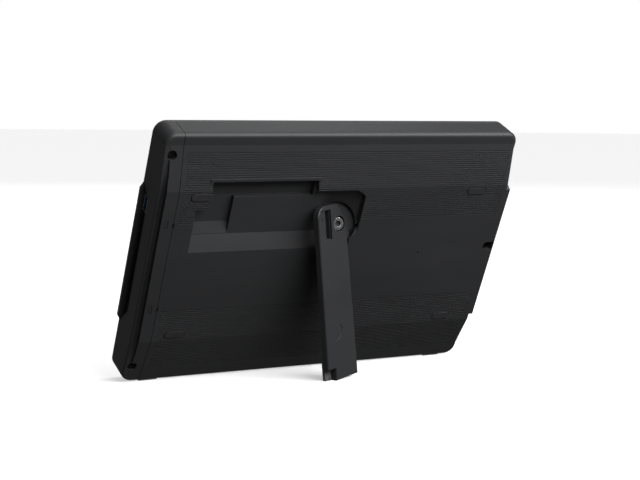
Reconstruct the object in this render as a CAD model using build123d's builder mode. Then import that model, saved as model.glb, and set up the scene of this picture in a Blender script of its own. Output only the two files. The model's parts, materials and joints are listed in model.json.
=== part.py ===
"""A tablet-format data collector standing on its swing-out leg, screen towards -Y, back towards +Y.

Every piece is drawn in the case's own frame: r runs across the back (rightwards for someone who looks
at the back), u runs up the case and o runs outwards from the back's rim. The case leans back, so that
frame is tilted in the part's frame. The leg is drawn where it lies when stored, and then swung out.
"""

from build123d import *
import os
from math import atan2, cos, degrees, radians, sin, tan

# ---- the case ----
case_width = 300.0
case_height = 206.0
case_depth = 23.5  # front face to the rim of the back
corner_radius = 9.0
edge_radius = 3.5  # long edges of the back
wall = 2.4
bezel_thickness = 3.5
seam = 14.8  # where the end cover meets the rear cover
joint_gap = 0.15  # between the bezel and the covers
seam_gap = 0.35  # between the two covers of the back
guard_reach = 2.3  # side guards of the bezel
guard_low, guard_high = 43.0, 157.5

# ---- the crown, the raised middle of the back ----
crown_height = 6.9
crown_foot_low, crown_edge_low = 7.8, 39.7
crown_edge_high, crown_foot_high = 164.4, 197.2
crown_inset = 2.6  # from the case's right side
crown_start = 5.3  # from the case's left side

rail_low, rail_high, rail_proud = 41.5, 162.7, 1.0  # on the case's right side
lock_u, lock_reach, lock_width, lock_floor = 109.0, 9.3, 7.0, -1.0

# ---- the fine ribs of the back ----
rib_pitch = 1.65
rib_groove = 0.7
rib_depth = 0.4
rib_start, rib_end = 18.4, 293.9
rib_fields = ((11.7, 67.7), (138.0, 192.6))

# ---- the hinge of the leg ----
hinge_r, hinge_u = 151.1, 131.1
hinge_tilt = 24.0  # of the hinge's axis, from straight out towards the top of the case
leg_swing = 95.3  # from stored to out
shoulder_radius = 3.0
shoulder_clearance = 0.04
thread_radius = 1.95
thread_clearance = 0.05
hub_radius = 8.5
hub_low, hub_high = -3.2, 2.4  # along the hinge's axis
hinge_plate_margin = 8.0  # of the plate round the screw's shoulder
screw_head_radius = 4.7
screw_drive_radius = 2.6
screw_head_thickness = 2.6
screw_sink_radius = 6.2
washer_thickness = 0.5
running_gap = 0.3

# ---- the leg ----
leg_thickness = 5.0
leg_end = 33.6  # r of its free end when stored
leg_low, leg_high = 122.0, 159.3
leg_low_at_hub = 125.0
leg_hub_end = 166.8
leg_notch_r, leg_notch_u = 43.0, 149.5  # the corner cut out for the rubber foot
foot_low, foot_high = 137.0, 156.5
foot_set_back = 0.7  # of the rubber's top under the leg's end
foot_bottom, foot_top = -1.4, crown_height - leg_thickness - foot_set_back
foot_inner_end = 60.0
foot_ridges = (151.2, 153.0, 154.8)  # u of the grooves between the ridges of the rubber
foot_ridge_depth = 0.5
foot_ridge_gap = 0.6

leg_step_r, leg_step_u, leg_step_depth = (141.0, 163.6), (143.9, 155.3), 1.6
leg_slot_r, leg_slot_u = (141.6, 163.2), (144.5, 149.0)
arrow_r, arrow_u = 72.0, 147.4  # the middle of the turn arrow's bend
arrow_outer, arrow_inner, arrow_head = 8.0, 5.6, 5.2
arrow_relief = 0.35

# ---- the recess that the leg folds into ----
recess_left = 30.4
recess_low, recess_high = 114.5, 162.6
recess_floor = 1.5
recess_right = 168.7
finger_high = 171.0
leg_gap = 0.4  # between the stored leg's notch and the wall beside it
finger_left, finger_right = 40.4, 125.5
finger_floor = -3.0
recess_skin = 2.0
sweep_floor = -0.45  # lowest level that the leg sweeps, along the hinge's axis
bowl_flare, bowl_top = 10.8, 30.0

# ---- pads, screws and feet ----
pad_length, pad_width = 16.3, 5.8
pad_depth, pad_proud, pad_gap = 1.0, 0.4, 0.45
pad_places = ((33.0, 159.5), (269.0, 159.5), (33.0, 44.5), (269.0, 44.5))
base_foot_length, base_foot_proud = 15.0, 0.8
base_foot_inset = 15.0
base_foot_out = (-9.5, -1.5)
pad_screw_offset = 4.5  # each case screw sits this much further out than its pad's middle
end_screw_places = ((6.9, 190.2), (6.3, 15.2))
screw_radius, screw_pan_radius, screw_pan_height = 1.5, 2.8, 1.8
end_screw_seat = -2.2
plug_r, plug_places = (8.2, 10.7), ((134.7, 141.3), (64.4, 71.4))  # small oblong plugs
plug_gap, plug_depth = 0.4, 0.8
latch_places, latch_reach = ((135.3, 139.2), (65.8, 69.2)), 1.0  # notches in the seam
counterbore_radius = 3.5
screw_clearance = 0.2
drive_slot = 0.6  # the cross recess of a screw head
drive_span = 3.0
drive_depth = 1.0

# ---- the port bay on the left side ----
bay_low, bay_high = 45.0, 152.5
bay_out = -10.2
module_count = 4
module_first_top = 136.8
module_pitch = 19.8
module_length = 19.2
usb_width, usb_height = 13.1, 5.7
usb_u, usb_o = 144.4, -15.1
usb_lip = 0.9  # the receptacle's mouth, in from the case's side
usb_end = 12.2
usb_shell_thickness = 0.35
usb_tongue_start = 2.6
usb_tongue_width = 11.2

# ---- the display and what lies behind it ----
glass_width, glass_height, glass_thickness = 267.4, 171.4, 1.8
glass_gap = 0.3
ledge = 4.0
gasket_thickness = 0.7
panel_width, panel_height, panel_thickness = 275.0, 180.0, 4.9
chassis_out, chassis_thickness = -14.0, 1.5
board_out, board_thickness = -10.9, 1.5

case_screw_length_in = 2.2  # how far a case screw's seat stands from the chassis
board_r, board_u = (178.0, 272.0), (60.0, 146.0)
board_screw_inset = 4.0
stand_off_radius, stand_off_bore = 2.6, 1.2
board_hole_radius, board_screw_radius = 1.3, 1.1
board_screw_head = 2.3, 1.4  # radius and height
spreader_r, spreader_u, spreader_base = (205.0, 245.0), (95.0, 135.0), 1.2
fin_pitch, fin_thickness, fin_count, fin_height = 4.0, 1.2, 10, 5.0
memory_r, memory_rows, memory_width, memory_height = (200.0, 248.0), (70.0, 82.0), 9.0, 2.4
battery_r, battery_u, battery_height = (36.0, 128.0), (10.0, 100.0), 9.0
tray_gap, tray_wall, tray_height = 0.2, 1.4, 5.0
drive_r, drive_u, drive_height = (136.0, 172.0), (14.0, 84.0), 5.0
speaker_r, speaker_u, speaker_height = (176.0, 216.0), (186.0, 200.0), 6.0
cable_window = (110.0, 190.0), (146.0, 181.0)  # r and u of the opening in the chassis
ribbon_thickness = 0.3
ribbon_r, ribbon_turn_r = (120.0, 160.0), (190.0, 196.0)

# ---- the right side ----
button_u, button_o = 172.0, -8.6
button_length, button_width = 13.0, 5.0
button_travel = 1.0
door_low, door_high = 60.0, 96.0
door_front, door_back = -16.4, -5.6
door_thickness = 1.8
knuckle_radius = 1.1
door_pin_radius = 0.5
jack_u, jack_o = 32.0, -8.4
jack_bore_radius = 2.8

front = -case_depth
bezel_back = front + bezel_thickness
cover_front = bezel_back + joint_gap
glass_front = front + 0.2
panel_front = bezel_back + gasket_thickness + 0.1
chassis_back = chassis_out + chassis_thickness
board_back = board_out + board_thickness
case_screw_seat = chassis_back + case_screw_length_in
case_screw_places = [
    (r + (pad_screw_offset if r > case_width / 2 else -pad_screw_offset), u) for r, u in pad_places
]

tilt = radians(hinge_tilt)
swing = radians(leg_swing)


def swung_out(r, u, o):
    """Where a point of the stored leg is once the leg is out."""
    y, z = u - hinge_u, o
    out, along = y * cos(tilt) - z * sin(tilt), y * sin(tilt) + z * cos(tilt)
    x = (r - hinge_r) * cos(swing) - out * sin(swing)
    out = (r - hinge_r) * sin(swing) + out * cos(swing)
    return hinge_r + x, hinge_u + out * cos(tilt) + along * sin(tilt), along * cos(tilt) - out * sin(tilt)


# The case stands on the outer corners of its base feet and on the end of the leg's rubber foot.
_, tip_u, tip_o = swung_out(leg_end, (leg_notch_u + foot_high) / 2, (foot_bottom + foot_top) / 2)
stand_u, stand_o = -base_foot_proud, base_foot_out[1]
lean = atan2(tip_u - stand_u, tip_o - stand_o)
trim = 0.25  # ground off the feet, so that they sit flat

nearest = front * cos(lean) + 1.5 * (sin(lean) + cos(lean) - 1)
furthest = (case_height - edge_radius) * sin(lean) - edge_radius * cos(lean) + edge_radius
back = Plane(
    origin=(
        case_width / 2,
        -(nearest + furthest) / 2,
        stand_o * sin(lean) - stand_u * cos(lean) - trim,
    ),
    x_dir=(-1, 0, 0),
    z_dir=(0, cos(lean), -sin(lean)),
)
ground = Plane(origin=(0, 0, 0), x_dir=(1, 0, 0), z_dir=(0, 0, 1))


def level(o, frame=back):
    """The plane parallel to the back, o outwards from its rim."""
    return frame.offset(o)


def across(r, frame=back):
    """The plane square to the case's width at r: its x runs up the case and its y outwards."""
    return Plane(origin=frame.from_local_coords((r, 0, 0)), x_dir=frame.y_dir, z_dir=frame.x_dir)


def facing_up(u, frame=back):
    """The plane square to the case's height at u: its x runs across the case and its y inwards."""
    return Plane(origin=frame.from_local_coords((0, u, 0)), x_dir=frame.x_dir, z_dir=frame.y_dir)


hinge_point = back.from_local_coords((hinge_r, hinge_u, 0))
hinge_direction = back.z_dir * cos(tilt) + back.y_dir * sin(tilt)
hinge = Plane(origin=hinge_point, x_dir=back.x_dir, z_dir=hinge_direction)
hinge_side = Plane(origin=hinge_point, x_dir=hinge.x_dir, z_dir=-hinge.y_dir)
turn = hinge.location * Location((0, 0, 0), (0, 0, 1), leg_swing) * hinge.location.inverse()
stored = Plane(turn * back.location)  # the back's frame, carried round with the leg
out_axis = Axis(back.origin, back.z_dir)


def block(r, u, o, mode=Mode.ADD, corner=0.0, frame=back):
    """A block between two values of r, of u and of o."""
    with BuildSketch(level(o[0], frame)) as plan:
        with Locations(((r[0] + r[1]) / 2, (u[0] + u[1]) / 2)):
            if corner:
                RectangleRounded(r[1] - r[0], u[1] - u[0], corner)
            else:
                Rectangle(r[1] - r[0], u[1] - u[0])
    extrude(plan.sketch, amount=o[1] - o[0], mode=mode)


def profile(points, r, mode=Mode.ADD, frame=back):
    """An outline of (u, o) points, run across the case between two values of r."""
    with BuildSketch(across(r[0], frame)) as outline:
        Polygon(*points, align=None)
    extrude(outline.sketch, amount=r[1] - r[0], mode=mode)


def plan_of(points, o, mode=Mode.ADD, frame=back):
    """An outline of (r, u) points, run outwards between two values of o."""
    with BuildSketch(level(o[0], frame)) as outline:
        Polygon(*points, align=None)
    extrude(outline.sketch, amount=o[1] - o[0], mode=mode)


def peg(place, radius, o, mode=Mode.ADD, frame=back):
    """A round peg or hole, square to the back."""
    with BuildSketch(level(o[0], frame)) as outline:
        with Locations(place):
            Circle(radius)
    extrude(outline.sketch, amount=o[1] - o[0], mode=mode)


def obround(place, length, width, o, mode=Mode.ADD):
    """A pad or pocket with round ends that lies across the back."""
    with BuildSketch(level(o[0])) as outline:
        with Locations(place):
            SlotOverall(length, width)
    extrude(outline.sketch, amount=o[1] - o[0], mode=mode)


def cross_drive(places, top, span):
    """The cross recess of screw heads whose tops are at the same level."""
    with BuildSketch(level(top - drive_depth)) as cross:
        with Locations(places):
            Rectangle(span, drive_slot)
            Rectangle(drive_slot, span)
    extrude(cross.sketch, amount=drive_depth + 1.0, mode=Mode.SUBTRACT)


def on_hinge(radius, low, high, mode=Mode.ADD):
    """A disc on the hinge's axis, between two levels along it."""
    with BuildSketch(hinge.offset(low)) as outline:
        Circle(radius)
    extrude(outline.sketch, amount=high - low, mode=mode)


def hinge_bowl(grow=0.0, mode=Mode.ADD):
    """The bowl round the hinge's axis that the leg's hub end sweeps."""
    reach = leg_hub_end - hinge_r + 1.0 + grow
    low = sweep_floor - grow
    outline = (
        (0, low),
        (reach, low),
        (reach, low + 3.5),
        (reach + bowl_flare, 11.5),
        (reach + bowl_flare, bowl_top),
        (0, bowl_top),
    )
    with BuildSketch(hinge_side) as half:
        Polygon(*outline, align=None)
    revolve(half.sketch, axis=Axis(hinge.origin, hinge.z_dir), mode=mode)


def crown_out(u):
    """How far the back's surface stands out at u."""
    if u < crown_edge_low:
        return crown_height * (u - crown_foot_low) / (crown_edge_low - crown_foot_low)
    if u > crown_edge_high:
        return crown_height * (crown_foot_high - u) / (crown_foot_high - crown_edge_high)
    return crown_height


def crown_profile(height, root, inset=0.0):
    """The crown's outline of (u, o) points, down to root."""
    return (
        (crown_foot_low + inset, root),
        (crown_foot_low + inset, 0 - inset),
        (crown_edge_low + inset / 4, height - inset),
        (crown_edge_high - inset / 4, height - inset),
        (crown_foot_high - inset, 0 - inset),
        (crown_foot_high - inset, root),
    )


def outer_case():
    """The outside of the whole back, before it is parted at the seam."""
    block((0, case_width), (0, case_height), (cover_front, 0), corner=corner_radius)
    rim = faces().sort_by(out_axis)[-1]
    fillet(rim.edges(), edge_radius)
    # below the crown the back goes on along the crown's lower slope
    slope = crown_height / (crown_edge_low - crown_foot_low)
    profile(
        ((-1.0, -(crown_foot_low + 1.0) * slope), (crown_foot_low, 0), (crown_foot_low, 5.0), (-1.0, 5.0)),
        (-5.0, case_width + 5.0),
        Mode.SUBTRACT,
    )


def hollow(r_from, r_to):
    """The space inside the back."""
    inside_u = (wall, case_height - wall)
    block((r_from, r_to), inside_u, (cover_front, -wall), Mode.SUBTRACT, corner_radius - wall)
    crown_from = max(r_from, crown_start + wall)
    profile(crown_profile(crown_height, -wall - 1, wall), (crown_from, r_to - 3), Mode.SUBTRACT)


def recess_outline(grow=0.0):
    """The recess seen from behind, as (r, u) points."""
    return (
        (recess_left - grow, recess_low - grow),
        (163.5 + grow, recess_low - grow),
        (161.9 + grow, 128.6 - grow / 2),
        (recess_right + grow, 135.0 - grow / 2),
        (recess_right + grow, 153.0 + grow / 2),
        (recess_right - 2.4 + grow, 159.0 + grow),
        (recess_right - 8.5, recess_high + grow),
        (finger_right + 1.5 + grow, recess_high + grow),
        (finger_right + grow, finger_high + grow),
        (finger_left - grow, finger_high + grow),
        (finger_left - grow, leg_notch_u + leg_gap + grow),
        (recess_left - grow, leg_notch_u + leg_gap + grow),
    )


clear = crown_height + 3.0
# The floor under the rubber foot rises towards the bottom, because the leg leaves that way.
foot_drop = foot_bottom - 0.5
foot_run = (recess_floor - foot_drop) / tan(tilt) * 1.1

# ---- places that follow from the sizes above ----
bay_outline = (
    (bay_low, front),
    (bay_low, -20.5),
    (bay_low + 11.5, bay_out),
    (bay_high - 3.5, bay_out),
    (bay_high, bay_out - 3.5),
    (bay_high + 3.0, front),
)
bay_outline_inner = (
    (bay_low - 1.5, cover_front + 0.2),
    (bay_low - 1.5, bay_out + 1.5),
    (bay_high + 1.5, bay_out + 1.5),
    (bay_high + 1.5, cover_front + 0.2),
)
module_out = (-19.0, -11.6)
module_face = wall + 0.6
module_inset = 0.8  # of a module's front within its place
module_lip = 1.3
screw_seat = hub_high + 0.1 + washer_thickness
hinge_plate_back = hub_low - running_gap - 2.2 - 1.4
window_r = ((case_width - glass_width) / 2 - glass_gap, (case_width + glass_width) / 2 + glass_gap)
window_u = ((case_height - glass_height) / 2 - glass_gap, (case_height + glass_height) / 2 + glass_gap)
glass_r = (window_r[0] + glass_gap, window_r[1] - glass_gap)
glass_u = (window_u[0] + glass_gap, window_u[1] - glass_gap)
panel_r = ((case_width - panel_width) / 2, (case_width + panel_width) / 2)
panel_u = ((case_height - panel_height) / 2, (case_height + panel_height) / 2)
chassis_r = (13.0, case_width - wall - 5.2)
io_r, io_u = (12.0, 27.0), (bay_low + 8.0, bay_high)
main_screw_places = [
    (r, u)
    for r in (board_r[0] + board_screw_inset, board_r[1] - board_screw_inset)
    for u in (board_u[0] + board_screw_inset, board_u[1] - board_screw_inset)
]
io_screw_places = [
    (io_r[0] + 9.0, u) for u in (io_u[0] + board_screw_inset, io_u[1] - board_screw_inset)
]
board_screw_places = main_screw_places + io_screw_places
usb_u_range_in = (usb_u - usb_width / 2, usb_u + usb_width / 2)
usb_o_range_in = (usb_o - usb_height / 2, usb_o + usb_height / 2)
usb_u_range = (usb_u_range_in[0] - 0.2, usb_u_range_in[1] + 0.2)
usb_o_range = (usb_o_range_in[0] - 0.2, usb_o_range_in[1] + 0.2)

door_pin_out = door_front + knuckle_radius + 0.2
door_axis = Plane(
    origin=back.from_local_coords((case_width - knuckle_radius, door_low, door_pin_out)),
    x_dir=back.x_dir,
    z_dir=back.y_dir,
)

# ---------------------------------------------------------------- the space that the leg folds into
with BuildPart() as hub_space:
    hinge_bowl()
    block((hinge_r - 60, recess_right), (60, recess_high), (-20, clear), Mode.INTERSECT)

with BuildPart() as hub_wall:
    hinge_bowl(recess_skin)
    block(
        (hinge_r - 60, recess_right + recess_skin),
        (60, recess_high + recess_skin),
        (-20, recess_floor),
        Mode.INTERSECT,
    )

with BuildPart() as leg_space:
    plan_of(recess_outline(), (recess_floor, clear))
    split(bisect_by=hinge.offset(sweep_floor), keep=Keep.TOP)
    add(hub_space.part)
    on_hinge(hub_radius + running_gap, hub_low - running_gap, 0.0)
    block((finger_left, finger_right), (recess_high - 6.0, finger_high), (finger_floor, clear))
    profile(
        (
            (foot_high + 0.6, foot_drop),
            (foot_low - 1.5, foot_drop),
            (foot_low - 1.5 - foot_run, recess_floor + 0.01),
            (leg_notch_u - 0.5, recess_floor + 0.01),
            (leg_notch_u - 0.5, foot_top + 0.4 + (foot_high + 1.1 - leg_notch_u) * tan(tilt)),
            (foot_high + 0.6, foot_top + 0.4),
        ),
        (recess_left, foot_inner_end + 1.0),
    )

# ---------------------------------------------------------------- covers
with BuildPart() as rear_cover:
    outer_case()
    profile(crown_profile(crown_height, -5.0), (crown_start, case_width - crown_inset))
    rail = (
        (rail_low + 1.0, bezel_back + 2),
        (rail_low, 2.0),
        (rail_low + 2.5, crown_height),
        (rail_high - 2.5, crown_height),
        (rail_high, 2.0),
        (rail_high - 1.0, bezel_back + 2),
    )
    profile(rail, (case_width - crown_inset - 2.0, case_width + rail_proud))
    split(bisect_by=across(seam + seam_gap / 2), keep=Keep.TOP)
    hollow(seam - 10, case_width - wall)
    # the walls and floor of the recess
    plan_of(recess_outline(recess_skin), (recess_floor - recess_skin, crown_height - 1.0))
    block(
        (finger_left - recess_skin, finger_right + recess_skin),
        (recess_high - 8.0, finger_high + recess_skin),
        (finger_floor - recess_skin, 2.0),
    )
    block(
        (recess_left - recess_skin, foot_inner_end + 3.0),
        (foot_low - 1.5 - foot_run, foot_high + 2.6),
        (foot_drop - recess_skin, 4.5),
    )
    add(hub_wall.part)
    on_hinge(hub_radius + running_gap + 2.2, hub_low - running_gap - 2.2, 0.0)
    # posts that carry the case screws, which go in under the pads
    peg(case_screw_places, screw_pan_radius + 1.6, (chassis_back + 0.1, crown_height - 1.2))
    peg(case_screw_places, screw_pan_radius + screw_clearance, (case_screw_seat, clear), Mode.SUBTRACT)
    peg(case_screw_places, screw_radius + screw_clearance, (chassis_back - 1, clear), Mode.SUBTRACT)
    add(leg_space.part, mode=Mode.SUBTRACT)
    on_hinge(thread_radius + 0.4, hub_low - 5.0, 0.0, Mode.SUBTRACT)
    for place in pad_places:
        pocket_out = (crown_height - pad_depth, clear)
        obround([place], pad_length + 2 * pad_gap, pad_width + 2 * pad_gap, pocket_out, Mode.SUBTRACT)
    # ribs: fine grooves that run across the back
    for low, high in rib_fields:
        with BuildSketch(across(rib_start)) as grooves:
            for i in range(int((high - low) / rib_pitch)):
                u = low + (i + 0.5) * rib_pitch
                with Locations((u, crown_out(u))):
                    Rectangle(rib_groove, 2 * rib_depth)
        extrude(grooves.sketch, amount=rib_end - rib_start, mode=Mode.SUBTRACT)
    for low, high in latch_places:
        block(
            (seam - 1, seam + latch_reach), (low, high), (crown_height - plug_depth, clear), Mode.SUBTRACT
        )
    # pin hole, lock notch, and the openings of the right side
    peg([(229.3, 105.8)], 0.8, (0, clear), Mode.SUBTRACT)
    with BuildSketch(level(lock_floor)) as lock_notch:
        with Locations((case_width, lock_u)):
            SlotOverall(2 * lock_reach, lock_width)
        with Locations((case_width + lock_reach + 0.1, lock_u)):
            Rectangle(2 * lock_reach, 2 * lock_width, mode=Mode.SUBTRACT)
    extrude(lock_notch.sketch, amount=clear - lock_floor, mode=Mode.SUBTRACT)
    block((case_width - 4, case_width + 4), (door_low, door_high), (door_front, door_back), Mode.SUBTRACT)
    with BuildSketch(across(case_width - 4)) as side_holes:
        with Locations((button_u, button_o)):
            SlotOverall(button_length + 0.6, button_width + 0.6)
        with Locations((jack_u, jack_o)):
            Circle(jack_bore_radius + 1.2)
    extrude(side_holes.sketch, amount=8, mode=Mode.SUBTRACT)
    with BuildSketch(door_axis.offset(-1.6)) as pin_hole:
        Circle(door_pin_radius + 0.02)
    extrude(pin_hole.sketch, amount=door_high - door_low + 3.2, mode=Mode.SUBTRACT)

end_profile = crown_profile(crown_height, -5.0)
bead_profile = crown_profile(0.55 * crown_height, -5.0)
bead_bevel = 1.3
groove_low, groove_high = 19.0, 181.5

with BuildPart() as left_end_cover:
    outer_case()
    profile(bead_profile, (0, crown_start + 1.0))
    # the bead's outer edge is bevelled along the top and down both ends
    for (u_from, o_from), (u_to, o_to) in zip(bead_profile[1:4], bead_profile[2:5]):
        away = Vector(-1, 0, 0) + Vector(0, o_from - o_to, u_to - u_from).normalized()
        away_in_space = back.from_local_coords(away) - back.from_local_coords((0, 0, 0))
        on_bevel = back.from_local_coords((bead_bevel, u_from, o_from))
        split(bisect_by=Plane(origin=on_bevel, z_dir=away_in_space), keep=Keep.BOTTOM)
    # the bead keeps inside the case's rounded corners
    with BuildSketch(level(-edge_radius - 1.0)) as surround:
        with Locations((case_width / 2, case_height / 2)):
            Rectangle(2 * case_width, 2 * case_height)
            RectangleRounded(case_width, case_height, corner_radius, mode=Mode.SUBTRACT)
    extrude(surround.sketch, amount=clear + edge_radius, mode=Mode.SUBTRACT)
    profile(end_profile, (crown_start, seam + 5))
    split(bisect_by=across(seam - seam_gap / 2), keep=Keep.BOTTOM)
    # the long groove beside the crown
    with BuildSketch(facing_up(groove_low)) as groove:
        with Locations((crown_start - 1.6, -0.55 * crown_height - 0.5)):
            Circle(1.9)
    extrude(groove.sketch, amount=groove_high - groove_low, mode=Mode.SUBTRACT)
    hollow(wall, seam + 5)
    # screw posts, slots for the strap hooks, and the opening of the port bay
    peg(end_screw_places, counterbore_radius + 0.5, (cover_front, -1.0))
    peg(end_screw_places, counterbore_radius, (end_screw_seat, clear), Mode.SUBTRACT)
    peg(end_screw_places, screw_radius + screw_clearance, (cover_front - 1, clear), Mode.SUBTRACT)
    for low, high in plug_places:
        block(plug_r, (low, high), (crown_height - plug_depth, clear), Mode.SUBTRACT)
        block(
            (plug_r[0] + plug_gap, plug_r[1] - plug_gap),
            (low + plug_gap, high - plug_gap),
            (crown_height - plug_depth - 0.1, crown_height - 0.1),
        )
    for low, high in latch_places:
        block((seam - 0.6, seam + 1), (low, high), (crown_height - plug_depth, clear), Mode.SUBTRACT)
    profile(bay_outline, (-1.0, wall + 0.1), Mode.SUBTRACT)

with BuildPart() as front_bezel:
    block((0, case_width), (0, case_height), (front, bezel_back), corner=corner_radius)
    guard = (
        (-guard_reach, guard_low + 4.0),
        (0.0, guard_low),
        (case_width / 2, guard_low),
        (case_width / 2, guard_high),
        (0.0, guard_high),
        (-guard_reach, guard_high - 4.0),
    )
    plan_of(guard, (front, bezel_back))
    plan_of([(case_width - r, u) for r, u in guard], (front, bezel_back))
    fillet(faces().sort_by(out_axis)[0].edges(), 1.2)
    block(window_r, window_u, (front - 1, glass_front + glass_thickness), Mode.SUBTRACT, 4.0)
    block(
        (window_r[0] + ledge, window_r[1] - ledge),
        (window_u[0] + ledge, window_u[1] - ledge),
        (front - 1, bezel_back + 1),
        Mode.SUBTRACT,
        2.0,
    )

with BuildPart() as touch_glass:
    block(glass_r, glass_u, (glass_front, glass_front + glass_thickness), corner=3.7)
    chamfer(faces().sort_by(out_axis)[0].edges(), 0.25)

with BuildPart() as display_gasket:
    block(panel_r, panel_u, (bezel_back, bezel_back + gasket_thickness))
    block(
        (window_r[0] + ledge, window_r[1] - ledge),
        (window_u[0] + ledge, window_u[1] - ledge),
        (bezel_back - 1, panel_front),
        Mode.SUBTRACT,
    )

with BuildPart() as display_panel:
    block(panel_r, panel_u, (panel_front, panel_front + panel_thickness))
    chamfer(faces().sort_by(out_axis)[-1].edges(), 0.8)

# ---------------------------------------------------------------- frame and electronics
with BuildPart() as chassis:
    block(chassis_r, (wall + 1.2, case_height - wall - 1.2), (chassis_out, chassis_back), corner=6.0)
    block(*cable_window, (chassis_out - 1, chassis_back + 1), Mode.SUBTRACT, 5.0)
    peg(board_screw_places, stand_off_radius, (chassis_back, board_out))
    peg(board_screw_places, stand_off_bore, (chassis_out - 1, board_out), Mode.SUBTRACT)
    peg(case_screw_places, screw_radius - 0.05, (chassis_out - 1, chassis_back + 1), Mode.SUBTRACT)

with BuildPart() as main_board:
    block(board_r, board_u, (board_out, board_back), corner=2.0)
    peg(main_screw_places, board_hole_radius, (board_out - 1, board_out + 3), Mode.SUBTRACT)

with BuildPart() as heat_spreader:
    block(spreader_r, spreader_u, (board_back, board_back + spreader_base))
    with BuildSketch(level(board_back + spreader_base)) as fins:
        with Locations((sum(spreader_r) / 2, sum(spreader_u) / 2)):
            with GridLocations(fin_pitch, 0, fin_count, 1):
                Rectangle(fin_thickness, spreader_u[1] - spreader_u[0] - 2.0)
    extrude(fins.sketch, amount=fin_height)

with BuildPart() as memory_modules:
    for u in memory_rows:
        block(memory_r, (u, u + memory_width), (board_back, board_back + memory_height))

with BuildPart() as battery_pack:
    block(battery_r, battery_u, (chassis_back, chassis_back + battery_height), corner=3.0)

with BuildPart() as battery_cell_tray:
    tray_inner = tray_gap, tray_gap + tray_wall
    for grow, o, mode in (
        (tray_inner[1], (chassis_back, chassis_back + tray_height), Mode.ADD),
        (tray_inner[0], (chassis_back - 1, chassis_back + tray_height + 1), Mode.SUBTRACT),
    ):
        block(
            (battery_r[0] - grow, battery_r[1] + grow),
            (battery_u[0] - grow, battery_u[1] + grow),
            o,
            mode,
            3.0,
        )

with BuildPart() as recording_drive:
    block(drive_r, drive_u, (chassis_back, chassis_back + drive_height), corner=1.5)

with BuildPart() as io_board:
    block(io_r, io_u, (board_out, board_back), corner=1.0)
    peg(io_screw_places, board_hole_radius, (board_out - 1, board_out + 3), Mode.SUBTRACT)

with BuildPart() as board_screws:
    peg(board_screw_places, board_screw_radius, (chassis_out + 0.2, board_back))
    peg(board_screw_places, board_screw_head[0], (board_back, board_back + board_screw_head[1]))
    cross_drive(board_screw_places, board_back + board_screw_head[1], 0.7 * drive_span)

with BuildPart() as speaker:
    block(speaker_r, speaker_u, (chassis_back, chassis_back + speaker_height), corner=3.0)

with BuildPart() as display_ribbon:
    ribbon_low, ribbon_high = cable_window[1][0] + 3.0, cable_window[1][1] - 3.0
    ribbon_out = (chassis_back + 0.1, chassis_back + 0.1 + ribbon_thickness)
    block(ribbon_r, (ribbon_low, ribbon_high), (panel_front + panel_thickness, ribbon_out[1]))
    block((ribbon_r[0], ribbon_turn_r[1]), (ribbon_low, ribbon_low + 8.0), ribbon_out)
    block(ribbon_turn_r, (ribbon_low - 0.4, ribbon_low), (ribbon_out[0], board_back + ribbon_thickness))
    block(ribbon_turn_r, (ribbon_low - 10.0, ribbon_low), (board_back, board_back + ribbon_thickness))

# ---------------------------------------------------------------- port bay
with BuildPart() as port_panel:
    profile(bay_outline_inner, (wall + 0.2, wall + 1.4))
    for i in range(module_count):
        top = module_first_top - i * module_pitch
        module_u = (top - module_length + 0.6, top - 0.6)
        block((0, 9), module_u, module_out, Mode.SUBTRACT)
    block((0, 9), usb_u_range, usb_o_range, Mode.SUBTRACT)

modules = []
for i in range(module_count):
    top = module_first_top - i * module_pitch
    with BuildPart() as module:
        front_u = (top - module_length + module_inset, top - module_inset)
        low, high = module_out
        block((wall + 1.5, io_r[0] - 0.2), (top - module_length, top), (low - 0.5, high + 0.5))
        block((module_face, wall + 2), front_u, (low + 0.2, high - 0.2))
        # a lip that a finger or a screwdriver presses
        block((0.7, wall + 1), front_u, (low + 0.2, low + module_lip))
        with BuildSketch(across(module_face)) as sockets:
            with Locations((top - module_length / 2, high - 2.2)):
                with GridLocations(3.4, 0, 5, 1):
                    Rectangle(2.4, 2.2)
        extrude(sockets.sketch, amount=4.0, mode=Mode.SUBTRACT)
    modules.append(module)

with BuildPart() as usb_shell:
    block((usb_lip, usb_end), usb_u_range_in, usb_o_range_in)
    block(
        (0, usb_end - 0.4),
        (usb_u_range_in[0] + usb_shell_thickness, usb_u_range_in[1] - usb_shell_thickness),
        (usb_o_range_in[0] + usb_shell_thickness, usb_o_range_in[1] - usb_shell_thickness),
        Mode.SUBTRACT,
    )

with BuildPart() as usb_tongue:
    block(
        (usb_tongue_start, usb_end - 0.4),
        (usb_u - usb_tongue_width / 2, usb_u + usb_tongue_width / 2),
        (usb_o - 0.4, usb_o + 1.5),
    )
    block((usb_end - 1.6, usb_end - 0.4), (usb_u - 5.9, usb_u + 5.9), (usb_o - 2.3, usb_o + 2.3))

with BuildPart() as usb_contacts:
    with BuildSketch(level(usb_o - 0.4)) as strips:
        with Locations((usb_tongue_start + 4.0, usb_u)):
            with GridLocations(0, 2.2, 1, 4):
                Rectangle(7.0, 1.2)
    extrude(strips.sketch, amount=-0.15)

# ---------------------------------------------------------------- pads, screws and feet
with BuildPart() as back_pads:
    for place in pad_places:
        obround([place], pad_length, pad_width, (crown_height - pad_depth, crown_height + pad_proud))
    for face in faces().group_by(out_axis)[-1]:
        fillet(face.edges(), 0.3)

with BuildPart() as case_screws:
    peg(case_screw_places, screw_radius - 0.1, (chassis_out + 0.1, case_screw_seat))
    peg(case_screw_places, screw_pan_radius, (case_screw_seat, case_screw_seat + screw_pan_height))
    cross_drive(case_screw_places, case_screw_seat + screw_pan_height, drive_span)

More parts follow.
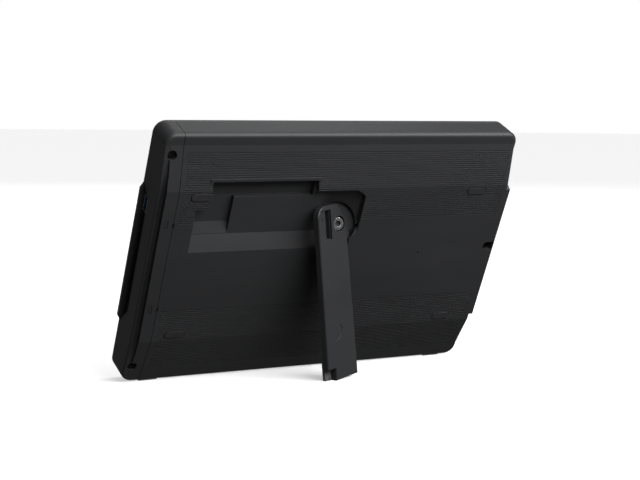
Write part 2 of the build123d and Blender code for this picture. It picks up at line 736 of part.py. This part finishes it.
with BuildPart() as end_cover_screws:
    peg(end_screw_places, screw_radius, (bezel_back + 0.3, end_screw_seat))
    peg(end_screw_places, screw_pan_radius, (end_screw_seat, end_screw_seat + screw_pan_height))
    cross_drive(end_screw_places, end_screw_seat + screw_pan_height, drive_span)

with BuildPart() as base_feet:
    for start in (base_foot_inset, case_width - base_foot_inset - base_foot_length):
        block((start, start + base_foot_length), (-base_foot_proud, 0), base_foot_out)
    split(bisect_by=ground, keep=Keep.TOP)

# ---------------------------------------------------------------- right side
with BuildPart() as power_button:
    with BuildSketch(across(case_width - wall)) as cap:
        with Locations((button_u, button_o)):
            SlotOverall(button_length, button_width)
    extrude(cap.sketch, amount=wall + 0.9)
    with BuildSketch(across(case_width - wall - 1.0 - button_travel)) as flange:
        with Locations((button_u, button_o)):
            SlotOverall(button_length + 2.4, button_width + 2.4)
    extrude(flange.sketch, amount=1.0)
    with BuildSketch(across(case_width - wall - button_travel)) as neck:
        with Locations((button_u, button_o)):
            SlotOverall(button_length, button_width)
    extrude(neck.sketch, amount=button_travel)

switch_r = case_width - wall - 1.0 - button_travel
with BuildPart() as power_switch:
    block((switch_r - 4.2, switch_r - 1.2), (button_u - 3, button_u + 3), (button_o - 2, button_o + 2))
    with BuildSketch(across(switch_r - 1.2)) as plunger:
        with Locations((button_u, button_o)):
            Circle(1.2)
    extrude(plunger.sketch, amount=1.0 - button_travel + 0.1)

with BuildPart() as card_door:
    block(
        (case_width - door_thickness, case_width),
        (door_low + 0.3, door_high - 0.3),
        (door_front + knuckle_radius + 0.2, door_back - 0.3),
    )
    with BuildSketch(door_axis.offset(0.3)) as knuckle:
        Circle(knuckle_radius)
    extrude(knuckle.sketch, amount=door_high - door_low - 0.6)
    with BuildSketch(door_axis) as bore:
        Circle(door_pin_radius + 0.04)
    extrude(bore.sketch, amount=door_high - door_low, mode=Mode.SUBTRACT)
    block(
        (case_width - 0.5, case_width + 1),
        ((door_low + door_high) / 2 - 6, (door_low + door_high) / 2 + 6),
        (door_back - 2.0, door_back),
        Mode.SUBTRACT,
    )

with BuildPart() as card_door_pin:
    with BuildSketch(door_axis.offset(-1.5)) as rod:
        Circle(door_pin_radius)
    extrude(rod.sketch, amount=door_high - door_low + 3.0)

with BuildPart() as card_slots:
    slot_r = (case_width - 22, case_width - 4.2)
    mouth_r = (case_width - 20, case_width + 1)
    for low, high, out in (
        (door_low + 3, door_low + 27, (-10.6, -8.4)),
        (door_high - 7, door_high - 2, (-11.2, -8.4)),
    ):
        block(slot_r, (low, high), (-12.0, -7.6))
        block(mouth_r, (low + 0.8, high - 0.8), out, Mode.SUBTRACT)

with BuildPart() as power_jack:
    with BuildSketch(across(case_width - 15.0)) as barrel:
        with Locations((jack_u, jack_o)):
            Circle(jack_bore_radius + 1.1)
    extrude(barrel.sketch, amount=14.6)
    with BuildSketch(across(case_width - 12.0)) as socket:
        with Locations((jack_u, jack_o)):
            Circle(jack_bore_radius)
    extrude(socket.sketch, amount=15, mode=Mode.SUBTRACT)
    with BuildSketch(across(case_width - 14.0)) as centre_pin:
        with Locations((jack_u, jack_o)):
            Circle(1.0)
    extrude(centre_pin.sketch, amount=11.0)

# ---------------------------------------------------------------- the leg and its hinge
with BuildPart() as kickstand_leg:
    leg_outline = (
        (leg_end, leg_low),
        (hinge_r - 4, leg_low_at_hub),
        (hinge_r + 1.4, leg_low_at_hub + 0.2),
        (159.0, 128.9),
        (leg_hub_end, 135.2),
        (leg_hub_end, leg_high),
        (leg_notch_r, leg_high),
        (leg_notch_r, leg_notch_u),
        (leg_end, leg_notch_u),
    )
    plan_of(leg_outline, (crown_height - leg_thickness, crown_height), frame=stored)
    corners = edges().filter_by(Axis(stored.origin, stored.z_dir))
    hub_end_corner = stored.from_local_coords((leg_hub_end, leg_high, crown_height / 2))
    hub_corner = corners.sort_by_distance(hub_end_corner)[0]
    fillet(hub_corner, 8.5)
    # the underside is cut back along the way it leaves the recess
    split(bisect_by=hinge.offset(sweep_floor + 0.75), keep=Keep.TOP)
    outer_edges = faces().sort_by(Axis(stored.origin, stored.z_dir))[-1].edges()
    chamfer(outer_edges, 0.7)
    # hub, with the sink for the screw
    on_hinge(hub_radius, hub_low, hub_high)
    block((100, 200), (100, 200), (crown_height, crown_height + 20), Mode.SUBTRACT, frame=stored)
    on_hinge(screw_sink_radius, hub_high, 30.0, Mode.SUBTRACT)
    on_hinge(shoulder_radius + shoulder_clearance, hub_low - 1, hub_high + 1, Mode.SUBTRACT)
    # window beside the hub: a shallow step and a slot right through
    block(leg_step_r, leg_step_u, (crown_height - leg_step_depth, clear), Mode.SUBTRACT, frame=stored)
    block(leg_slot_r, leg_slot_u, (-clear, clear), Mode.SUBTRACT, frame=stored)
    pin_floor = crown_height - leg_step_depth - 0.7
    peg([(156.2, 152.6)], 0.6, (pin_floor, clear), Mode.SUBTRACT, frame=stored)
    # a sunk turn arrow
    with BuildSketch(level(crown_height, stored)) as arrow:
        with Locations((arrow_r, arrow_u)):
            Circle(arrow_outer)
            Circle(arrow_inner, mode=Mode.SUBTRACT)
        with Locations((arrow_r + arrow_outer, arrow_u)):
            Rectangle(2 * arrow_outer, 3 * arrow_outer, mode=Mode.SUBTRACT)
        with Locations((arrow_r, arrow_u + arrow_outer)):
            Rectangle(3 * arrow_outer, 2 * arrow_outer, mode=Mode.SUBTRACT)
        with Locations((arrow_r + 1.2, arrow_u - (arrow_outer + arrow_inner) / 2)):
            Triangle(a=arrow_head, b=arrow_head, c=arrow_head, rotation=-90)
    extrude(arrow.sketch, amount=-arrow_relief, mode=Mode.SUBTRACT)

with BuildPart() as kickstand_foot:
    block((leg_end, leg_notch_r + 1.2), (foot_low, foot_high), (foot_bottom, foot_top), frame=stored)
    block(
        (leg_notch_r + 0.3, foot_inner_end),
        (foot_low, foot_high),
        (foot_bottom, crown_height - leg_thickness),
        frame=stored,
    )
    for u in foot_ridges:
        block(
            (leg_end - 1.0, leg_notch_r),
            (u - foot_ridge_gap / 2, u + foot_ridge_gap / 2),
            (foot_top - foot_ridge_depth, foot_top + 1.0),
            Mode.SUBTRACT,
            frame=stored,
        )
    split(bisect_by=ground, keep=Keep.TOP)

with BuildPart() as pivot_screw:
    on_hinge(screw_head_radius, screw_seat, screw_seat + screw_head_thickness)
    on_hinge(shoulder_radius, hub_low - running_gap, screw_seat)
    on_hinge(thread_radius, hinge_plate_back - 2.0, hub_low)
    with BuildSketch(hinge.offset(screw_seat + 0.9)) as drive:
        RegularPolygon(screw_drive_radius, 6)
    extrude(drive.sketch, amount=5, mode=Mode.SUBTRACT)

with BuildPart() as pivot_washer:
    on_hinge(screw_head_radius + 0.5, hub_high + 0.1, screw_seat)
    on_hinge(shoulder_radius + 0.1, hub_high, screw_seat + 1, Mode.SUBTRACT)

with BuildPart() as hinge_plate:
    on_hinge(shoulder_radius + hinge_plate_margin, hinge_plate_back, hinge_plate_back + 1.4)
    on_hinge(thread_radius + thread_clearance, hinge_plate_back - 1, hub_low, Mode.SUBTRACT)

pieces = {
    "rear_cover": rear_cover,
    "left_end_cover": left_end_cover,
    "front_bezel": front_bezel,
    "touch_glass": touch_glass,
    "display_gasket": display_gasket,
    "display_panel": display_panel,
    "chassis": chassis,
    "main_board": main_board,
    "heat_spreader": heat_spreader,
    "memory_modules": memory_modules,
    "battery_pack": battery_pack,
    "battery_cell_tray": battery_cell_tray,
    "recording_drive": recording_drive,
    "io_board": io_board,
    "board_screws": board_screws,
    "speaker": speaker,
    "display_ribbon": display_ribbon,
    "port_panel": port_panel,
    "usb_shell": usb_shell,
    "usb_tongue": usb_tongue,
    "usb_contacts": usb_contacts,
    "back_pads": back_pads,
    "case_screws": case_screws,
    "end_cover_screws": end_cover_screws,
    "base_feet": base_feet,
    "power_button": power_button,
    "power_switch": power_switch,
    "card_door": card_door,
    "card_door_pin": card_door_pin,
    "card_slots": card_slots,
    "power_jack": power_jack,
    "kickstand_leg": kickstand_leg,
    "kickstand_foot": kickstand_foot,
    "pivot_screw": pivot_screw,
    "pivot_washer": pivot_washer,
    "hinge_plate": hinge_plate,
}
for i, module in enumerate(modules, start=1):
    pieces[f"input_module_{i}"] = module

os.makedirs("parts", exist_ok=True)
for label, piece in pieces.items():
    piece.part.label = label
    export_step(piece.part, f"parts/{label}.step")
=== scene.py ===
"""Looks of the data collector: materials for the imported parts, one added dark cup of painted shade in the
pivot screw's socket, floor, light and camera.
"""

import json
from math import radians

import bmesh
import bpy
from mathutils import Matrix, Vector

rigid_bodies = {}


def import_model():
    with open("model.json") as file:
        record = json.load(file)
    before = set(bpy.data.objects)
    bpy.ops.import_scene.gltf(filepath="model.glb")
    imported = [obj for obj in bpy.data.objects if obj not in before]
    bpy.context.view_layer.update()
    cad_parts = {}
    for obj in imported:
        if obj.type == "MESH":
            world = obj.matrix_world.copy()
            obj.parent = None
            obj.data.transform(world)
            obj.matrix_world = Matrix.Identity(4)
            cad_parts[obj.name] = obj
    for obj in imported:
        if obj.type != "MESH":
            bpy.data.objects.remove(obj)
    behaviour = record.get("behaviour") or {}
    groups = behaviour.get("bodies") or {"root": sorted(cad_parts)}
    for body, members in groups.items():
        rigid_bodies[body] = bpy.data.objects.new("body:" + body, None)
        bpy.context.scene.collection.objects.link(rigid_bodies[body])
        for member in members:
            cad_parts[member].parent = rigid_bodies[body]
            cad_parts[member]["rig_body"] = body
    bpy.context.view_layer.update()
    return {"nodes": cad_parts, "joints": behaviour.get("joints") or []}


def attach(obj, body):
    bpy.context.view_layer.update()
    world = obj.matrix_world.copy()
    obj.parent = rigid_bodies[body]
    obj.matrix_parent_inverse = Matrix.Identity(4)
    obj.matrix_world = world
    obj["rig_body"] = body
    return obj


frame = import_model()
nodes = frame["nodes"]
scene = bpy.context.scene
MM = 0.001

# ---------------------------------------------------------------- camera
# It stands behind the object, a little to the side with the ports, and looks at the middle of the case.
camera_data = bpy.data.cameras.new("camera")
camera_data.lens = 83.1
camera_data.sensor_width = 36.0
camera_data.clip_start, camera_data.clip_end = 0.05, 40.0
camera = bpy.data.objects.new("camera", camera_data)
scene.collection.objects.link(camera)
camera_right = Vector((-0.87269, 0.48821, 0.00748))
camera_up = Vector((-0.03596, -0.07954, 0.99618))
camera_back = Vector((0.48694, 0.86909, 0.08697))
camera.matrix_world = Matrix.Translation((0.552917, 0.989733, 0.203118)) @ Matrix(
    (
        (camera_right.x, camera_up.x, camera_back.x),
        (camera_right.y, camera_up.y, camera_back.y),
        (camera_right.z, camera_up.z, camera_back.z),
    )
).to_4x4()
scene.camera = camera

# ---------------------------------------------------------------- the case's own directions
# The case leans back by this angle, so patterns that follow the case are turned by it.
LEAN = radians(24.93078)


class Finish:
    """A material that is made of nodes, and the few steps that its parts are built with."""

    def __init__(self, name):
        self.material = bpy.data.materials.new(name)
        self.material.use_nodes = True
        self.tree = self.material.node_tree
        self.shader = self.tree.nodes["Principled BSDF"]
        self.place = self.node("ShaderNodeTexCoord").outputs["Object"]
        self.bump = None

    def node(self, kind, **values):
        made = self.tree.nodes.new(kind)
        for key, value in values.items():
            setattr(made, key, value)
        return made

    def join(self, source, target):
        self.tree.links.new(source, target)

    def put(self, socket, value):
        """A number, a colour or another node's output goes into a socket."""
        if isinstance(value, bpy.types.NodeSocket):
            self.join(value, socket)
        else:
            socket.default_value = value

    def turned(self, stretch=(1, 1, 1)):
        """Places in the case's own directions, stretched along them."""
        mapping = self.node("ShaderNodeMapping")
        mapping.inputs["Rotation"].default_value = (LEAN, 0, 0)
        mapping.inputs["Scale"].default_value = stretch
        self.join(self.place, mapping.inputs["Vector"])
        return mapping.outputs["Vector"]

    def noise(self, scale, detail=4.0, roughness=0.55, place=None):
        made = self.node("ShaderNodeTexNoise")
        made.inputs["Scale"].default_value = scale
        made.inputs["Detail"].default_value = detail
        made.inputs["Roughness"].default_value = roughness
        self.join(place or self.place, made.inputs["Vector"])
        return made.outputs["Fac"]

    def cells(self, scale, place=None):
        made = self.node("ShaderNodeTexVoronoi")
        made.inputs["Scale"].default_value = scale
        self.join(place or self.place, made.inputs["Vector"])
        return made.outputs["Distance"]

    def spread(self, value, low, high, to_low, to_high):
        """One range of numbers carried over to another."""
        made = self.node("ShaderNodeMapRange")
        self.put(made.inputs["Value"], value)
        for name, number in (("From Min", low), ("From Max", high), ("To Min", to_low), ("To Max", to_high)):
            self.put(made.inputs[name], number)
        return made.outputs["Result"]

    def math(self, operation, a, b=0.0):
        made = self.node("ShaderNodeMath", operation=operation)
        self.put(made.inputs[0], a)
        self.put(made.inputs[1], b)
        return made.outputs["Value"]

    def mix(self, share, a, b):
        made = self.node("ShaderNodeMix", data_type="RGBA")
        self.put(made.inputs["Factor"], share)
        self.put(made.inputs[6], a)
        self.put(made.inputs[7], b)
        return made.outputs[2]

    def raise_by(self, height, distance, strength=1.0):
        """One more layer of relief, in metres."""
        made = self.node("ShaderNodeBump")
        made.inputs["Distance"].default_value = distance
        made.inputs["Strength"].default_value = strength
        self.join(height, made.inputs["Height"])
        if self.bump:
            self.join(self.bump, made.inputs["Normal"])
        self.bump = made.outputs["Normal"]

    def soften_edges(self, radius):
        """Rounds the sharp edges a little for the light, and returns how near an edge is."""
        rounded = self.node("ShaderNodeBevel", samples=6)
        rounded.inputs["Radius"].default_value = radius
        geometry = self.node("ShaderNodeNewGeometry")
        same = self.node("ShaderNodeVectorMath", operation="DOT_PRODUCT")
        self.join(rounded.outputs["Normal"], same.inputs[0])
        self.join(geometry.outputs["Normal"], same.inputs[1])
        self.bump = rounded.outputs["Normal"]
        return self.spread(same.outputs["Value"], 0.98, 0.75, 0.0, 1.0)

    def done(self, colour, roughness, metallic=0.0, specular=0.5):
        self.put(self.shader.inputs["Base Color"], colour)
        self.put(self.shader.inputs["Roughness"], roughness)
        self.shader.inputs["Metallic"].default_value = metallic
        self.shader.inputs["Specular IOR Level"].default_value = specular
        if self.bump:
            self.join(self.bump, self.shader.inputs["Normal"])
        return self.material


def shade(colour, factor):
    return (*(min(1.0, c * factor) for c in colour[:3]), 1.0)


def moulded(
    name, colour, roughness=0.55, grain=0.45, relief=0.02, wear=0.5, specular=0.4, rounding=0.35
):
    """Moulded plastic: an eroded grain, faint flow marks, and edges that handling has polished."""
    f = Finish(name)
    edge = f.soften_edges(rounding * MM)
    grain_cells = f.cells(1 / (grain * MM))
    fine = f.noise(1 / (grain * MM) * 1.7, 3.0, 0.6)
    flow = f.noise(14.0, 5.0, 0.6, f.turned((0.5, 1.0, 1.6)))
    rub = f.noise(420.0, 5.0, 0.7)
    worn = f.math("MULTIPLY", edge, f.spread(rub, 0.42, 0.62, 0.15, wear))
    body = f.mix(f.spread(flow, 0.3, 0.7, 0.0, 1.0), shade(colour, 0.9), shade(colour, 1.1))
    body = f.mix(f.spread(fine, 0.35, 0.65, 0.0, 0.35), body, shade(colour, 0.75))
    body = f.mix(worn, body, shade(colour, 2.2))
    rough = f.spread(flow, 0.25, 0.75, roughness - 0.05, roughness + 0.06)
    rough = f.math("SUBTRACT", rough, f.math("MULTIPLY", worn, 0.12))
    f.raise_by(grain_cells, relief * MM, 0.6)
    f.raise_by(fine, relief * 0.7 * MM, 0.7)
    return f.done(body, rough, specular=specular)


def rubbery(name, colour, roughness=0.75, grain=0.3, relief=0.03):
    """Rubber: matt, with a fine open skin and dust in it."""
    f = Finish(name)
    edge = f.soften_edges(0.4 * MM)
    skin = f.cells(1 / (grain * MM))
    dust = f.noise(160.0, 6.0, 0.7)
    body = f.mix(f.spread(dust, 0.45, 0.7, 0.0, 0.5), colour, shade(colour, 1.8))
    body = f.mix(f.math("MULTIPLY", edge, 0.35), body, shade(colour, 1.9))
    f.raise_by(skin, relief * MM, 0.8)
    return f.done(body, f.spread(dust, 0.3, 0.7, roughness - 0.08, roughness + 0.1), specular=0.3)


def metal(name, colour, roughness=0.32, stretch=(1, 12, 12), scratches=0.4, metallic=1.0):
    """Metal with a brushed or turned surface, fine scratches and bright edges."""
    f = Finish(name)
    edge = f.soften_edges(0.2 * MM)
    brushed = f.noise(500.0, 4.0, 0.6, f.turned(stretch))
    stain = f.noise(90.0, 5.0, 0.65)
    lines = f.noise(900.0, 2.0, 0.5, f.turned((0.15, 1.0, 4.0)))
    cut = f.spread(lines, 0.62, 0.7, 0.0, scratches)
    body = f.mix(f.spread(stain, 0.35, 0.7, 0.0, 0.6), colour, shade(colour, 0.72))
    body = f.mix(f.math("MULTIPLY", edge, 0.6), body, shade(colour, 1.5))
    rough = f.spread(brushed, 0.3, 0.7, roughness - 0.08, roughness + 0.12)
    rough = f.math("ADD", rough, f.math("MULTIPLY", cut, 0.2))
    f.raise_by(brushed, 0.01 * MM, 0.5)
    f.raise_by(cut, 0.01 * MM, 0.5)
    return f.done(body, rough, metallic=metallic)


def circuit(name):
    """Solder mask with copper tracks under it and gold pads."""
    f = Finish(name)
    f.soften_edges(0.15 * MM)
    across = f.turned()
    bricks = f.node("ShaderNodeTexBrick", offset=0.35, squash=1.6, squash_frequency=3)
    bricks.inputs["Scale"].default_value = 190.0
    bricks.inputs["Mortar Size"].default_value = 0.045
    bricks.inputs["Brick Width"].default_value = 0.9
    bricks.inputs["Row Height"].default_value = 0.28
    f.join(across, bricks.inputs["Vector"])
    pads = f.cells(420.0, across)
    body = f.mix(bricks.outputs["Fac"], (0.012, 0.09, 0.035, 1), (0.03, 0.2, 0.07, 1))
    body = f.mix(f.spread(pads, 0.16, 0.12, 0.0, 0.8), body, (0.6, 0.44, 0.14, 1))
    mottled = f.noise(120.0)
    f.raise_by(bricks.outputs["Fac"], 0.03 * MM, 0.6)
    return f.done(body, f.spread(mottled, 0.3, 0.7, 0.28, 0.42))


def glass(name):
    """Polished cover glass over a dark screen: a fine sensor grid, smears and a few hairlines."""
    f = Finish(name)
    flat = f.turned()
    smear = f.noise(22.0, 6.0, 0.65, f.turned((1.0, 1.0, 2.6)))
    dots = f.noise(700.0, 2.0, 0.5)
    hair = f.noise(60.0, 1.0, 0.4, f.turned((0.2, 1.0, 9.0)))
    grid = f.node("ShaderNodeTexBrick", offset=0.0)
    grid.inputs["Scale"].default_value = 230.0
    grid.inputs["Mortar Size"].default_value = 0.03
    grid.inputs["Brick Width"].default_value = 1.0
    grid.inputs["Row Height"].default_value = 1.0
    f.join(flat, grid.inputs["Vector"])
    body = f.mix(grid.outputs["Fac"], (0.0045, 0.005, 0.0065, 1), (0.006, 0.0068, 0.009, 1))
    body = f.mix(f.spread(smear, 0.5, 0.75, 0.0, 0.25), body, (0.014, 0.015, 0.018, 1))
    rough = f.spread(smear, 0.4, 0.75, 0.05, 0.16)
    rough = f.math("ADD", rough, f.spread(dots, 0.66, 0.72, 0.0, 0.2))
    f.raise_by(f.spread(hair, 0.7, 0.72, 0.0, 1.0), 0.004 * MM, 0.4)
    f.shader.inputs["Coat Weight"].default_value = 0.6
    f.shader.inputs["Coat Roughness"].default_value = 0.04
    return f.done(body, rough)


def film(name, colour, stripe):
    """Flexible film with conductors that run along it."""
    f = Finish(name)
    lines = f.node("ShaderNodeTexWave", wave_type="BANDS", bands_direction="X")
    lines.inputs["Scale"].default_value = 160.0
    lines.inputs["Distortion"].default_value = 0.2
    f.join(f.turned(), lines.inputs["Vector"])
    body = f.mix(f.spread(lines.outputs["Fac"], 0.4, 0.6, 0.0, 1.0), colour, stripe)
    f.raise_by(lines.outputs["Fac"], 0.03 * MM)
    return f.done(body, f.spread(f.noise(90.0), 0.3, 0.7, 0.3, 0.45))


def wrap(name, colour):
    """Shrink film: glossy, with soft wrinkles."""
    f = Finish(name)
    wrinkle = f.noise(45.0, 5.0, 0.6, f.turned((1.0, 1.0, 3.0)))
    f.raise_by(wrinkle, 0.6 * MM, 0.5)
    body = f.mix(f.spread(wrinkle, 0.4, 0.6, 0.0, 1.0), colour, shade(colour, 1.6))
    return f.done(body, f.spread(wrinkle, 0.3, 0.7, 0.25, 0.4))


finishes = {
    "case_plastic": moulded(
        "case_plastic", (0.025, 0.0255, 0.027, 1), 0.42, wear=0.12, specular=0.3, rounding=0.14
    ),
    "bezel_plastic": moulded("bezel_plastic", (0.034, 0.0345, 0.036, 1), 0.48),
    "leg_plastic": moulded("leg_plastic", (0.024, 0.0245, 0.026, 1), 0.42, wear=0.5, specular=0.3),
    "button_plastic": moulded("button_plastic", (0.07, 0.07, 0.075, 1), 0.4, grain=0.3),
    "module_plastic": moulded("module_plastic", (0.012, 0.012, 0.013, 1), 0.5, grain=0.3),
    "port_plastic": moulded("port_plastic", (0.008, 0.008, 0.009, 1), 0.55, grain=0.3),
    "inner_plastic": moulded("inner_plastic", (0.04, 0.04, 0.042, 1), 0.6),
    "board_parts": moulded("board_parts", (0.018, 0.018, 0.019, 1), 0.5, grain=0.2),
    "usb_blue": moulded("usb_blue", (0.02, 0.12, 0.6, 1), 0.35, grain=0.2, wear=0.2, specular=0.5),
    "foam_rubber": rubbery("foam_rubber", (0.02, 0.02, 0.021, 1), 0.9, grain=0.7, relief=0.12),
    "pad_rubber": rubbery("pad_rubber", (0.016, 0.016, 0.0175, 1)),
    "foot_rubber": rubbery("foot_rubber", (0.11, 0.112, 0.115, 1), 0.6),
    "display_metal": metal("display_metal", (0.55, 0.56, 0.58, 1), 0.4),
    "magnesium": metal("magnesium", (0.42, 0.43, 0.44, 1), 0.55, stretch=(1, 1, 1), scratches=0.1),
    "aluminium_fins": metal("aluminium_fins", (0.6, 0.61, 0.62, 1), 0.35, stretch=(1, 20, 1)),
    "steel": metal("steel", (0.5, 0.5, 0.51, 1), 0.3),
    "bright_steel": metal("bright_steel", (0.62, 0.62, 0.63, 1), 0.18),
    "black_steel": metal("black_steel", (0.03, 0.03, 0.032, 1), 0.4),
    "contact_metal": metal("contact_metal", (0.8, 0.6, 0.24, 1), 0.25),
    "circuit_board": circuit("circuit_board"),
    "screen_glass": glass("screen_glass"),
    "ribbon_film": film("ribbon_film", (0.42, 0.2, 0.03, 1), (0.6, 0.36, 0.1, 1)),
    "battery_wrap": wrap("battery_wrap", (0.03, 0.035, 0.05, 1)),
}
for node in nodes.values():
    for slot in node.material_slots:
        slot.material = finishes[slot.material.name.split(".")[0]]

# ---------------------------------------------------------------- painted shade: a dark cup in the socket of the pivot screw
SOCKET_RADIUS = 2.2 * MM
SOCKET_REACH = 2.9 * MM  # the screw's drive lies within this of the axis
SOCKET_DEPTH = 2.2 * MM  # and its floor within this of the head's top
SOCKET_SIDES = 32
# Rings of the cup: share of the radius, and millimetres above the socket's floor.
SOCKET_RINGS = ((1.0, 1.2), (1.0, 0.25), (0.8, 0.12), (0.35, 0.06))


def socket_shade_cup(pivot, axis, floor_along):
    """A shallow cup of painted shade that lines the socket, as a mesh."""
    sideways = axis.orthogonal().normalized()
    cup = bmesh.new()
    rings = []
    for share, height in SOCKET_RINGS:
        centre = pivot + axis * (floor_along + height * MM)
        ring = []
        for side in range(SOCKET_SIDES):
            towards = Matrix.Rotation(radians(360 * side / SOCKET_SIDES), 3, axis) @ sideways
            ring.append(cup.verts.new(centre + towards * (share * SOCKET_RADIUS)))
        rings.append(ring)
    for outer, inner in zip(rings, rings[1:]):
        for side in range(SOCKET_SIDES):
            after = (side + 1) % SOCKET_SIDES
            cup.faces.new((outer[side], outer[after], inner[after], inner[side])).smooth = True
    cup.faces.new(rings[-1])
    mesh = bpy.data.meshes.new("pivot_socket_shade")
    cup.to_mesh(mesh)
    cup.free()
    return mesh


swing = next(joint for joint in frame["joints"] if joint["name"] == "kickstand_swing")
pivot, pivot_axis = Vector(swing["pos_m"]), Vector(swing["axis"]).normalized()
heights = []
near_heights = []
for vertex in nodes["pivot_screw"].data.vertices:
    reach = vertex.co - pivot
    height = reach.dot(pivot_axis)
    heights.append(height)
    if (reach - height * pivot_axis).length < SOCKET_REACH:
        near_heights.append(height)
socket_floor = min(height for height in near_heights if height > max(heights) - SOCKET_DEPTH)
socket_shade_mesh = socket_shade_cup(pivot, pivot_axis, socket_floor)
# The cup takes the near-black port plastic: painted shade where the deep socket lies in shadow.
socket_shade_mesh.materials.append(finishes["port_plastic"])
pivot_socket_shade = bpy.data.objects.new("pivot_socket_shade", socket_shade_mesh)
scene.collection.objects.link(pivot_socket_shade)
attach(pivot_socket_shade, nodes["pivot_screw"]["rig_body"])

# ---------------------------------------------------------------- floor, backdrop and light


FLOOR_SIZE = 30.0
FLOOR_CUTS = 4
DOME_RADIUS = 14.0


def stage_piece(name, shape):
    """A piece of the stage, made from a mesh under construction."""
    mesh = bpy.data.meshes.new(name)
    shape.to_mesh(mesh)
    shape.free()
    made = bpy.data.objects.new(name, mesh)
    scene.collection.objects.link(made)
    made.visible_diffuse = False
    made.visible_glossy = False
    return made


sheet = bmesh.new()
bmesh.ops.create_grid(sheet, x_segments=FLOOR_CUTS, y_segments=FLOOR_CUTS, size=FLOOR_SIZE / 2)
floor = stage_piece("floor", sheet)
paper = Finish("floor_paper")
paper.shader.inputs["Emission Color"].default_value = (1, 1, 1, 1)
paper.shader.inputs["Emission Strength"].default_value = 0.45
fibre = paper.noise(60.0, 4.0)
paper.raise_by(fibre, 0.05 * MM, 0.3)
floor.data.materials.append(
    paper.done(paper.mix(fibre, (0.84, 0.84, 0.84, 1), (0.88, 0.88, 0.88, 1)), 0.85, specular=0.1)
)

dome = bmesh.new()
bmesh.ops.create_uvsphere(dome, u_segments=48, v_segments=24, radius=DOME_RADIUS)
for face in dome.faces:
    face.smooth = True
backdrop = stage_piece("backdrop", dome)
white = Finish("backdrop_white")
white.shader.inputs["Emission Color"].default_value = (1, 1, 1, 1)
white.shader.inputs["Emission Strength"].default_value = 1.0
backdrop.data.materials.append(white.done((0, 0, 0, 1), 1.0, specular=0.0))
backdrop.visible_transmission = False
backdrop.visible_shadow = False

# The room is bright above and behind the object, and dark in front of it and below.
world = bpy.data.worlds.new("studio")
scene.world = world
world.use_nodes = True
background = world.node_tree.nodes["Background"]
background.inputs["Color"].default_value = (1.0, 1.0, 1.0, 1)
background.inputs["Strength"].default_value = 0.13


def shine(data, towards, place=(0, 0, 0)):
    """A light goes into the scene at a place, and shines in a direction."""
    made = bpy.data.objects.new(data.name, data)
    made.location = place
    made.rotation_mode = "QUATERNION"
    made.rotation_quaternion = Vector(towards).to_track_quat("-Z", "Y")
    scene.collection.objects.link(made)


def lamp(name, place, aim, size, power):
    """A soft rectangular light."""
    data = bpy.data.lights.new(name, "AREA")
    data.shape = "RECTANGLE"
    data.size, data.size_y = size
    data.energy = power
    shine(data, Vector(aim) - Vector(place), place)


def sun(name, source, angle, strength):
    """A broad even light that comes from one direction."""
    data = bpy.data.lights.new(name, "SUN")
    data.angle = radians(angle)
    data.energy = strength
    shine(data, -Vector(source))


sun("overhead", (-0.35, 0.3, 1.0), angle=50, strength=1.45)
lamp("back_light", (-0.25, 0.6, 0.5), aim=(0.0, 0.0, 0.18), size=(1.1, 0.4), power=10.5)
lamp("front_light", (-0.8, -2.2, 1.4), aim=(0.0, 0.0, 0.1), size=(1.8, 1.2), power=14.0)

scene.view_settings.view_transform = "Standard"
